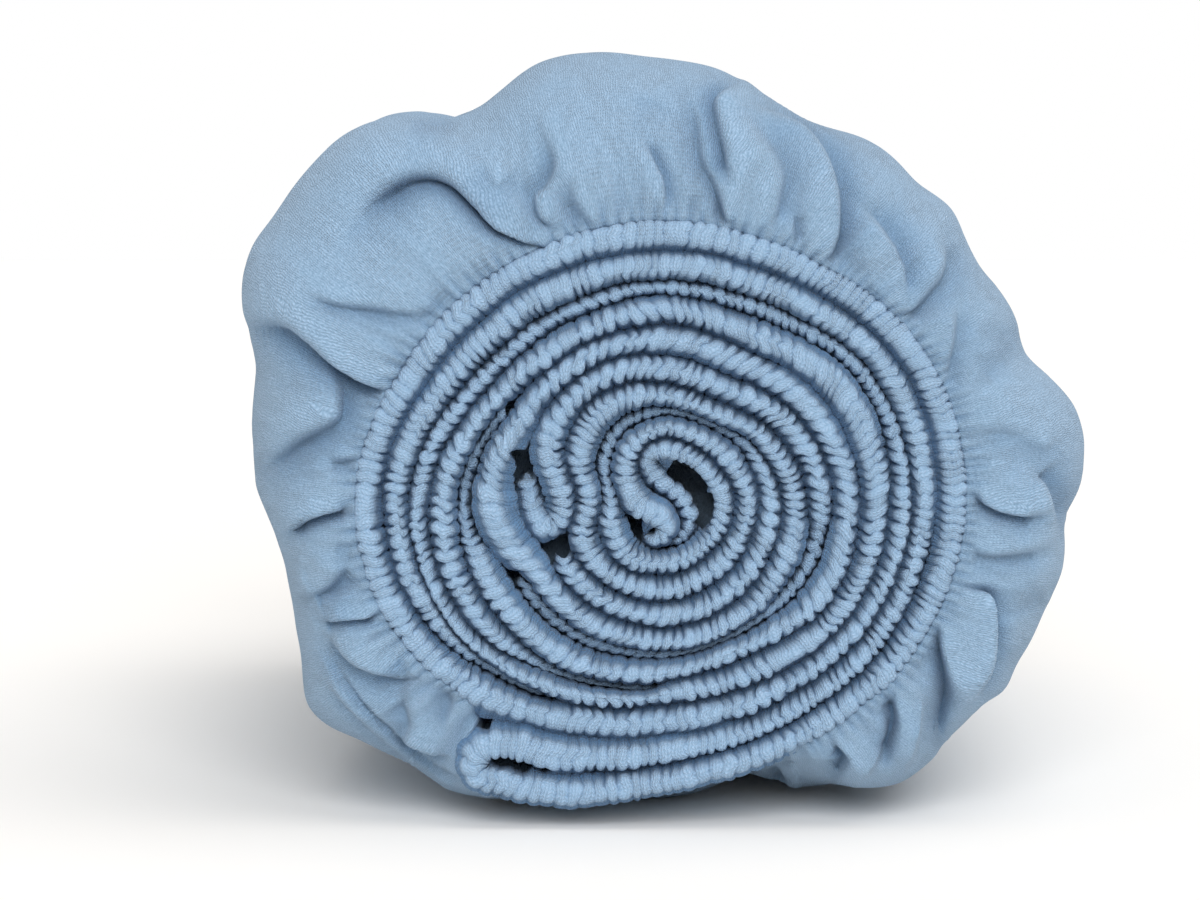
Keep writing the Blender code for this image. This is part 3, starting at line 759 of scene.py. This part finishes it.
def fold_shifts(view):
    """For points seen at view, by the listed folds: how far each is pushed out, how far it is drawn
    sideways on the face, and how much painted shade it gets under a fold's lip."""
    push, draw, shade = np.zeros(view.shape[:-1]), np.zeros(view.shape), np.zeros(view.shape[:-1])
    for points, first_half, last_half, trough, lip, lip_side in FOLDS:
        line = smooth_line(points)
        reach = 5.0 * max(first_half, last_half)
        near = np.all((view > line.min(axis=0) - reach) & (view < line.max(axis=0) + reach), axis=-1)
        if not near.any():
            continue
        away = view[near][:, None, :] - line[None, :, :]
        gap = np.linalg.norm(away, axis=2)
        nearest = gap.argmin(axis=1)
        heading = np.gradient(line, axis=0)
        heading /= np.linalg.norm(heading, axis=1, keepdims=True)
        offset = away[np.arange(len(away)), nearest]
        local = heading[nearest]
        signed = (local[:, 0] * offset[:, 1] - local[:, 1] * offset[:, 0]) * lip_side
        beyond = (local * offset).sum(axis=1)
        share = nearest / (len(line) - 1.0)
        half = first_half + (last_half - first_half) * share
        fade = (0.3 + 0.7 * ramp(share, 0.0, 0.25)) * (1.0 - 0.5 * ramp(share, 0.82, 1.0))
        fade *= np.exp(-(beyond / half) ** 2)
        valley = np.exp(-(signed / (half * np.where(signed > 0.0, *TROUGH_SPREAD))) ** 2)
        past_lip = signed - LIP_PLACE * half
        crest = np.exp(-(past_lip / (half * np.where(past_lip >= 0.0, *LIP_SPREAD))) ** 2)
        push[near] += fade * (LIP * lip * crest - TROUGH * trough * valley)
        toward = np.column_stack([-local[:, 1], local[:, 0]]) * lip_side
        leaning = OVERHANG_PLACE * half
        overhang = np.exp(-((signed - leaning) / leaning) ** 2) * LIP * lip * OVERHANG
        draw[near] -= toward * (fade * overhang)[:, None]
        # Painted shade beside a fold's lip, spreading over its trough.
        under = np.exp(-(signed / (half * np.where(signed > 0.0, *SHADE_SPREAD))) ** 2)
        shade[near] = np.maximum(shade[near], FOLD_SHADE * max(trough, 0.0) * fade * under)
    return push, draw, shade


def cloth_points(rim_route, creases):
    """Grid of the ballooned cloth's points, folded and gathered, resting on its flat spot, with each
    point's distance from the ring and how much painted shade it gets under folds' lips and in the gathers."""
    angles = np.linspace(0.0, 360.0, CLOTH_COLUMNS, endpoint=False)
    points = bare_cloth(angles)
    rows = len(points)
    depth = points[:, :, 2]
    out = -normals_of(points, closed_columns=True)
    middle = np.zeros_like(points)
    middle[:, :, 2] = depth
    out *= np.sign(((points - middle) * out).sum(axis=2).mean())
    view = seen(points)
    view[SWELL_ROWS:] = view[SWELL_ROWS - 1]
    from_ring = np.linalg.norm(np.diff(points, axis=0), axis=2).cumsum(axis=0)
    from_ring = np.vstack([np.zeros(CLOTH_COLUMNS), from_ring - from_ring[0]])
    push, draw, shade = fold_shifts(view)
    held = (1.0 - ramp(depth, SWELL_DEPTH - 4.0, SWELL_DEPTH + FOLD_REACH)) * ramp(from_ring, -1.5, 4.0)
    held *= EDGE_HOLD + (1.0 - EDGE_HOLD) * ramp(-out[:, :, 2], 0.0, 0.5)
    push, draw = push * held, draw * held[:, :, None]
    # Painted shade under the folds' lips, where the folds are held.
    painted_shade = np.minimum(shade, 1.0) * held
    tree = KDTree(len(rim_route))
    for index, (right, up) in enumerate(rim_route[:, :2]):
        tree.insert((right, up, 0.0), index)
    tree.balance()
    beside = np.array([tree.find((*point[:2], 0.0))[1] for point in points[0]]) * SAMPLE
    after = np.clip(np.searchsorted(creases, beside), 1, len(creases) - 1)
    gap = np.minimum(beside - creases[after - 1], creases[after] - beside)
    gathers = np.exp(-(gap / GATHER_WIDTH) ** 2)[None, :] * np.exp(-(from_ring / RIB_FADE) ** 2)
    push -= RIB_CREASE * gathers
    # Painted shade in the gathers' creases.
    painted_shade = np.maximum(painted_shade, GATHER_SHADE * CREASE_SHADE * gathers)
    place = angles[None, :] / 360.0
    pleats = (PLEAT_TOP - np.abs(wander_2d(place * 110.0, from_ring / 16.0, 41, 110)) * PLEAT_GROOVE
              + PLEAT_STRAY * wander_2d(place * 56.0, from_ring / 22.0, 42, 56))
    push += PLEAT * pleats * np.exp(-from_ring / PLEAT_FADE) * ramp(from_ring, 0.0, 5.0)
    puffs = (wander_2d(place * 24.0, from_ring / 26.0 + 3.0, 43, 24)
             + 0.45 * wander_2d(place * 60.0, from_ring / 13.0, 44, 60))
    push += PUFF * puffs * ramp(from_ring, 2.0, 22.0)
    long_folds = wander_2d(place * 30.0 + depth / 160.0, depth / 90.0, 45, 30)
    push += LONG_FOLD * long_folds * ramp(depth, SWELL_DEPTH, SWELL_DEPTH + 60.0)
    rear_pleats = wander_2d(place * 48.0, depth / 30.0, 46, 48)
    push += REAR_PLEAT * rear_pleats * ramp(depth, REAR_SHOULDER - 40.0, REAR_SHOULDER + 25.0)
    push[-len(REAR_EDGE_HOLD):] *= REAR_EDGE_HOLD
    forward = push * FORWARD * (1.0 - ramp(depth, SWELL_DEPTH - 15.0, SWELL_DEPTH + 5.0))
    points = points + out * (push - forward)[:, :, None]
    points[:, :, 2] -= forward
    points[:, :, :2] += draw
    points[:, :, 2] = np.clip(points[:, :, 2], CLOTH_FRONT, LENGTH - CLOTH_REAR)
    points[:, :, 1] = np.maximum(points[:, :, 1], FLOOR_GAP - AXIS_HEIGHT)
    return points, from_ring, painted_shade


def placed(points, front=True):
    """Points of the face, (right, up, depth), as world points in millimetres."""
    result = np.empty_like(points)
    result[..., 0] = AXIS_X + points[..., 0]
    result[..., 1] = FRONT_Y + (points[..., 2] if front else LENGTH - points[..., 2])
    result[..., 2] = AXIS_HEIGHT + points[..., 1]
    return result


def backing_points(radius, depth, seed):
    """Grid of the cloth gathered behind a coil: a shallow dish of radial creases."""
    angles = np.linspace(0.0, 2.0 * math.pi, BACKING_COLUMNS, endpoint=False)
    share = np.linspace(BACKING_EYE, 1.0, BACKING_ROWS)
    reach = share[:, None] * radius(np.degrees(angles))[None, :]
    creases = wander_2d(angles[None, :] / (2.0 * math.pi) * 96.0, share[:, None] * 5.0, seed, 96)
    back = depth + BACKING_CREASE * creases * share[:, None] + BACKING_DISH * (1.0 - share[:, None]) ** 2
    return np.stack([reach * np.cos(angles), reach * np.sin(angles), back], axis=-1)


# ---------------------------------------------------------------------------------------------
# Finish
# ---------------------------------------------------------------------------------------------


def node(tree, kind, x, y, links=None, **settings):
    """A node at a place in a tree, with its inputs linked or set by name or number."""
    made = tree.nodes.new(kind)
    made.location = (x, y)
    for name, value in settings.items():
        setattr(made, name, value)
    for name, value in (links or {}).items():
        socket = made.inputs[name]
        if isinstance(value, bpy.types.NodeSocket):
            tree.links.new(value, socket)
        else:
            socket.default_value = value
    return made


def calculation(tree, operation, x, y, first, second=None, third=None):
    """Output of a Math node on sockets or numbers."""
    links = {index: value for index, value in enumerate((first, second, third)) if value is not None}
    return node(tree, "ShaderNodeMath", x, y, links, operation=operation).outputs[0]


def knit_group():
    """Rows of V stitches with a brushed, fuzzy face: a height for the bump, and a shade for the colour that
    mixes the fuzz's random tone with painted shade between the raised stitches.
    """
    group = bpy.data.node_groups.new("brushed_knit", "ShaderNodeTree")
    for name, kind in (("Cloth", "NodeSocketVector"), ("Stitch Width", "NodeSocketFloat"),
                       ("Stitch Height", "NodeSocketFloat"), ("Fuzz", "NodeSocketFloat")):
        group.interface.new_socket(name=name, in_out="INPUT", socket_type=kind)
    for name in ("Height", "Shade"):
        group.interface.new_socket(name=name, in_out="OUTPUT", socket_type="NodeSocketFloat")
    given = node(group, "NodeGroupInput", -1400, 0).outputs
    bend = node(group, "ShaderNodeTexNoise", -1200, 260,
                {"Vector": given["Cloth"], "Scale": 2.2, "Detail": 2.0})
    place = node(group, "ShaderNodeSeparateXYZ", -1200, 0, {0: given["Cloth"]}).outputs
    shift = calculation(group, "MULTIPLY_ADD", -1000, 260, bend.outputs[0], 0.22, -0.11)
    wale = calculation(group, "DIVIDE", -800, 100, calculation(group, "ADD", -900, 160, place[0], shift),
                       given["Stitch Width"])
    course = calculation(group, "DIVIDE", -800, -100, place[1], given["Stitch Height"])
    fold = calculation(group, "PINGPONG", -620, 100, wale, 0.5)
    leg = calculation(group, "SINE", -440, 160,
                      calculation(group, "MULTIPLY", -520, 160, fold, 2.0 * math.pi))
    slant = calculation(group, "MULTIPLY_ADD", -440, -60, fold, 1.7, course)
    loop = calculation(group, "SINE", -260, -60,
                       calculation(group, "MULTIPLY", -340, -60, slant, 2.0 * math.pi))
    stitch = calculation(group, "MULTIPLY_ADD", -180, -60, loop, 0.30, 0.60)
    raised = calculation(group, "MULTIPLY", -60, 60, leg, stitch)
    fuzz = node(group, "ShaderNodeTexNoise", -440, -300,
                {"Vector": given["Cloth"], "Scale": 12.0, "Detail": 4.0, "Roughness": 0.72})
    patches = node(group, "ShaderNodeTexNoise", -440, -520,
                   {"Vector": given["Cloth"], "Scale": 0.8, "Detail": 3.0, "Roughness": 0.6})
    brushed = calculation(group, "MULTIPLY", 60, -200, fuzz.outputs[0], given["Fuzz"])
    worn = calculation(group, "MULTIPLY_ADD", 60, -420, patches.outputs[0], 1.6, -0.15)
    clear = calculation(group, "MULTIPLY", 180, 60, raised, worn)
    height = calculation(group, "ADD", 320, 0, clear, brushed)
    shade = calculation(group, "MULTIPLY_ADD", 320, -240, fuzz.outputs[0], 0.9,
                        calculation(group, "MULTIPLY", 200, -300, clear, 0.55))
    node(group, "NodeGroupOutput", 520, 0, {"Height": height, "Shade": shade})
    return group


def knit_material(settings, name, base, stitch_height, fuzz, relief, tones, wale=None):
    """Pale blue brushed knit: stitches as bump, fuzz in the colour, painted shade in the grooves between
    stitches and, from the mesh's attribute, in its creases, valleys and folds, and a soft sheen.  A stitch's
    height is a share of the settings' stitch, and so is its width unless a wale is given, in units of the UV
    map.  The tones, between stitches and on them, are shares of the base colour; the one between stitches
    is painted shade."""
    stitch = settings.stitch / MM / STITCH_UNIT
    material = bpy.data.materials.new(name)
    material.use_nodes = True
    tree = material.node_tree
    shader = tree.nodes["Principled BSDF"]
    cloth = node(tree, "ShaderNodeUVMap", -900, 0, uv_map="cloth")
    group = bpy.data.node_groups.get("brushed_knit") or knit_group()
    knit = node(tree, "ShaderNodeGroup", -700, 0, node_tree=group)
    tree.links.new(cloth.outputs[0], knit.inputs["Cloth"])
    knit.inputs["Stitch Width"].default_value = wale or stitch
    knit.inputs["Stitch Height"].default_value = stitch * stitch_height
    knit.inputs["Fuzz"].default_value = fuzz
    colour = node(tree, "ShaderNodeValToRGB", -420, 160, {0: knit.outputs["Shade"]})
    low, high = colour.color_ramp.elements
    low.position, high.position = 0.35, 0.85
    # Painted shade: the tone between stitches is darker and bluer than the base colour.
    low.color = (*(channel * tones[0] * hue for channel, hue in zip(base, PAINTED_GROOVE_SHADE_HUE)), 1.0)
    high.color = (*(channel * tones[1] for channel in base), 1.0)
    # Painted shade: the colour is multiplied toward a dark blue by the mesh's point attribute, where shade
    # falls in creases, valleys and under folds' lips.
    painted_shade = node(tree, "ShaderNodeAttribute", -420, 420, attribute_name="painted_shade")
    shaded = node(tree, "ShaderNodeMix", -160, 240,
                  {0: painted_shade.outputs["Fac"], 6: colour.outputs[0], 7: PAINTED_SHADE_TONE},
                  data_type="RGBA", blend_type="MULTIPLY")
    bump = node(tree, "ShaderNodeBump", -300, -200,
                {"Strength": 1.0, "Distance": relief * MM, "Height": knit.outputs["Height"]})
    tree.links.new(shaded.outputs[2], shader.inputs["Base Color"])
    tree.links.new(bump.outputs[0], shader.inputs["Normal"])
    shader.inputs["Roughness"].default_value = 0.95
    shader.inputs["Sheen Weight"].default_value = settings.sheen
    shader.inputs["Sheen Roughness"].default_value = 0.6
    shader.inputs["Specular IOR Level"].default_value = 0.2
    return material


# ---------------------------------------------------------------------------------------------
# Settings and operators
# ---------------------------------------------------------------------------------------------


class RolledSheetSettings(bpy.types.PropertyGroup):
    """What a user of the sheet would change."""
    # The hem's own blue, set lighter than the body's as painted light where the front light falls on the
    # hem.
    hem_colour_and_painted_light: bpy.props.FloatVectorProperty(
        name="Hem colour", description="Colour of the gathered hem on its raised side", subtype="COLOR",
        size=3, min=0.0, max=1.0, default=(0.36, 0.512, 0.697))
    body_colour: bpy.props.FloatVectorProperty(
        name="Body colour", description="Colour of the smooth cloth on its raised side", subtype="COLOR",
        size=3, min=0.0, max=1.0, default=(0.334, 0.48, 0.65))
    sheen: bpy.props.FloatProperty(
        name="Sheen", description="Light caught by the brushed fibres", subtype="FACTOR",
        min=0.0, max=1.0, default=0.15)
    stitch: bpy.props.FloatProperty(
        name="Stitch", description="Width of a stitch in the cloth at rest", unit="LENGTH",
        min=0.0002, max=0.005, default=0.0012)
    daylight: bpy.props.FloatProperty(
        name="Overhead light", description="Strength of the broad light above the roll",
        min=0.0, max=20.0, default=1.0)
    front_light: bpy.props.FloatProperty(
        name="Front light", description="Strength of the softer light from before the roll",
        min=0.0, max=20.0, default=2.2)
    surround: bpy.props.FloatProperty(
        name="Surrounding light", description="Strength of the light from all round",
        min=0.0, max=5.0, default=0.49)


class SHEET_OT_hem(bpy.types.Operator):
    """Coils the gathered elastic hem: the rim with its tongue, and the turns inside it"""
    bl_idname = "sheet.hem"
    bl_label = "Gathered hem"

    def execute(self, context):
        settings = context.scene.rolled_sheet
        cloth = knit_material(settings, "hem_knit", settings.hem_colour_and_painted_light, 0.85, 0.5, 0.5, (0.66, 1.0),
                              wale=RIB_UNIT / 2.0 / STITCH_UNIT)
        routes = strand_routes()
        spreads = rooms(routes)
        for strand, route in routes.items():
            places = rib_places(route, STRAND_SEEDS[strand])
            points, ribs, painted_shade = strand_points(strand, route, spreads[strand], places)
            piece = strand_piece(f"hem_{strand}", points, ribs, painted_shade)
            dress(piece, cloth)
        return {"FINISHED"}


class SHEET_OT_cloth(bpy.types.Operator):
    """Wraps the ballooned cloth from the outermost hem round the roll to its rear end"""
    bl_idname = "sheet.cloth"
    bl_label = "Ballooned cloth"

    def execute(self, context):
        settings = context.scene.rolled_sheet
        cloth = knit_material(settings, "soft_knit", settings.body_colour, 0.75, 0.5, 0.4, (0.58, 1.04))
        rim = strand_routes()["rim"]
        points, run, painted_shade = cloth_points(rim, rib_places(rim, STRAND_SEEDS["rim"]))
        around = np.linspace(0.0, 2.0 * math.pi * CLOTH_GIRTH, CLOTH_COLUMNS + 1)
        back = np.repeat(run.mean(axis=1)[:, None], CLOTH_COLUMNS + 1, axis=1)
        uv = np.stack([np.repeat(around[None, :], len(points), axis=0), back], axis=-1) / STITCH_UNIT
        piece = grid_piece("outer_wrap", placed(points), uv, painted_shade, closed_columns=True, flip=True)
        dress(piece, cloth)
        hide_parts(ROLL)
        return {"FINISHED"}


class SHEET_OT_turns(bpy.types.Operator):
    """Fills in the cloth gathered behind the coiled hem"""
    bl_idname = "sheet.turns"
    bl_label = "Inner turns"

    def execute(self, context):
        settings = context.scene.rolled_sheet
        # Darker tones than the hem's: painted shade on the cloth deep behind the coil.
        cloth = knit_material(settings, "turns_knit", settings.hem_colour_and_painted_light, 0.75, 0.6, 0.25, (0.5, 0.8))
        points = backing_points(lambda angle: ring_radius(angle) + 1.0, BACKING_DEPTH, 51)
        lay_backing("inner_turns", points, cloth, front=True)
        return {"FINISHED"}


class SHEET_OT_rear(bpy.types.Operator):
    """Coils the plain folds of the roll's rear end"""
    bl_idname = "sheet.rear"
    bl_label = "Rear end"

    def execute(self, context):
        settings = context.scene.rolled_sheet
        cloth = knit_material(settings, "rear_knit", settings.body_colour, 0.75, 0.55, 0.25, (0.68, 1.0))
        angle = np.arange(0.0, 360.0 * REAR_TURNS, 2.0)
        radius = rear_radius(angle)
        turn = np.radians(angle)
        depth = (REAR_DEPTH + REAR_DISH_DEPTH * (1.0 - ramp(radius, *REAR_DISH))
                 + REAR_STRAY * wander(angle / 50.0, 71))
        route = even(np.column_stack([radius * np.cos(turn), radius * np.sin(turn), depth,
                                      np.full(len(angle), REAR_CREASES), np.zeros(len(angle))]))
        spread = np.full((len(route), 2), REAR_PITCH / 2.0 + REAR_LAP)
        places = rib_places(route, STRAND_SEEDS["rear"])
        points, ribs, painted_shade = strand_points("rear", route, spread, places, REAR_SOFTNESS)
        coil = strand_piece("rear_coil", points, ribs, painted_shade, front=False)
        dress(coil, cloth)
        backing = backing_points(lambda angle: np.full(len(angle), REAR_CREST), BACKING_DEPTH - 6.0, 52)
        lay_backing("rear_turns", backing, cloth, front=False)
        return {"FINISHED"}


class SHEET_OT_stage(bpy.types.Operator):
    """Sets the pale floor, the soft light and the camera at the photograph's angle"""
    bl_idname = "sheet.stage"
    bl_label = "Stage"

    def execute(self, context):
        settings = context.scene.rolled_sheet
        bpy.ops.object.select_all(action="DESELECT")
        bpy.ops.mesh.primitive_plane_add(size=8.0, location=(0.0, 0.0, 0.0))
        floor = context.object
        floor.name = "floor"
        paper = bpy.data.materials.new("white_paper")
        paper.use_nodes = True
        shader = paper.node_tree.nodes["Principled BSDF"]
        shader.inputs["Base Color"].default_value = (0.95, 0.925, 0.895, 1.0)
        shader.inputs["Roughness"].default_value = 0.9
        shader.inputs["Specular IOR Level"].default_value = 0.1
        floor.data.materials.append(paper)
        for name, strength in (("overhead", settings.daylight), ("front", settings.front_light)):
            direction, spread = LIGHTS[name]
            sun = bpy.data.lights.new(name, "SUN")
            sun.energy = strength
            sun.angle = math.radians(spread)
            lamp = bpy.data.objects.new(name, sun)
            lamp.rotation_euler = Vector(direction).to_track_quat("Z", "Y").to_euler()
            context.scene.collection.objects.link(lamp)
        self.surround(context.scene, settings.surround)
        tilt = math.radians(CAMERA_TILT)
        camera = bpy.data.objects.new("camera", bpy.data.cameras.new("camera"))
        camera.data.lens, camera.data.sensor_width = CAMERA_LENS, CAMERA_SENSOR
        camera.data.clip_start, camera.data.clip_end = 0.05, 20.0
        camera.location = (
            (AXIS_X + TARGET[0]) * MM,
            (FRONT_Y - CAMERA_DISTANCE * math.cos(tilt)) * MM,
            (AXIS_HEIGHT + TARGET[1] + CAMERA_DISTANCE * math.sin(tilt)) * MM,
        )
        camera.rotation_euler = (math.pi / 2.0 - tilt, 0.0, 0.0)
        context.scene.collection.objects.link(camera)
        context.scene.camera = camera
        context.scene.view_settings.view_transform = "Standard"
        return {"FINISHED"}

    @staticmethod
    def surround(scene, strength):
        """White all round as the camera sees it, and a weaker white light from it."""
        world = bpy.data.worlds.new("surround")
        world.use_nodes = True
        scene.world = world
        tree = world.node_tree
        light = tree.nodes["Background"]
        light.inputs[0].default_value = (1.0, 1.0, 1.0, 1.0)
        light.inputs[1].default_value = strength
        shown = node(tree, "ShaderNodeBackground", 0, -200, {0: (1.0, 1.0, 1.0, 1.0), 1: 1.0})
        path = node(tree, "ShaderNodeLightPath", -200, 200)
        mix = node(tree, "ShaderNodeMixShader", 220, 0,
                   {0: path.outputs["Is Camera Ray"], 1: light.outputs[0], 2: shown.outputs[0]})
        tree.links.new(mix.outputs[0], tree.nodes["World Output"].inputs[0])


def lay_backing(name, points, cloth, front):
    columns = points.shape[1]
    reach = np.linalg.norm(points[:, :, :2], axis=2).mean(axis=1)
    around = np.linspace(0.0, 2.0 * math.pi * reach[-1], columns + 1)
    uv = np.stack(np.broadcast_arrays(around[None, :], reach[:, None]), axis=-1) / STITCH_UNIT
    piece = grid_piece(name, placed(points, front), uv, np.zeros(points.shape[:2]),
                       closed_columns=True, flip=front)
    dress(piece, cloth)


class SHEET_PT_roll(bpy.types.Panel):
    """Lists the sheet's settings and steps"""
    bl_idname = "SHEET_PT_roll"
    bl_label = "Rolled fitted sheet"
    bl_space_type = "VIEW_3D"
    bl_region_type = "UI"
    bl_category = "Sheet"

    def draw(self, context):
        column = self.layout.column()
        for name in RolledSheetSettings.__annotations__:
            column.prop(context.scene.rolled_sheet, name)
        for step in STEPS:
            column.operator(step.bl_idname)


STEPS = (SHEET_OT_stage, SHEET_OT_hem, SHEET_OT_cloth, SHEET_OT_turns, SHEET_OT_rear)


def register():
    for kind in (RolledSheetSettings, *STEPS, SHEET_PT_roll):
        bpy.utils.register_class(kind)
    bpy.types.Scene.rolled_sheet = bpy.props.PointerProperty(type=RolledSheetSettings)


def unregister():
    del bpy.types.Scene.rolled_sheet
    for kind in reversed((RolledSheetSettings, *STEPS, SHEET_PT_roll)):
        bpy.utils.unregister_class(kind)


def main():
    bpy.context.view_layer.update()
    register()
    bpy.ops.sheet.stage()
    bpy.ops.sheet.hem()
    bpy.ops.sheet.cloth()
    bpy.ops.sheet.turns()
    bpy.ops.sheet.rear()


if __name__ == "__main__":
    main()
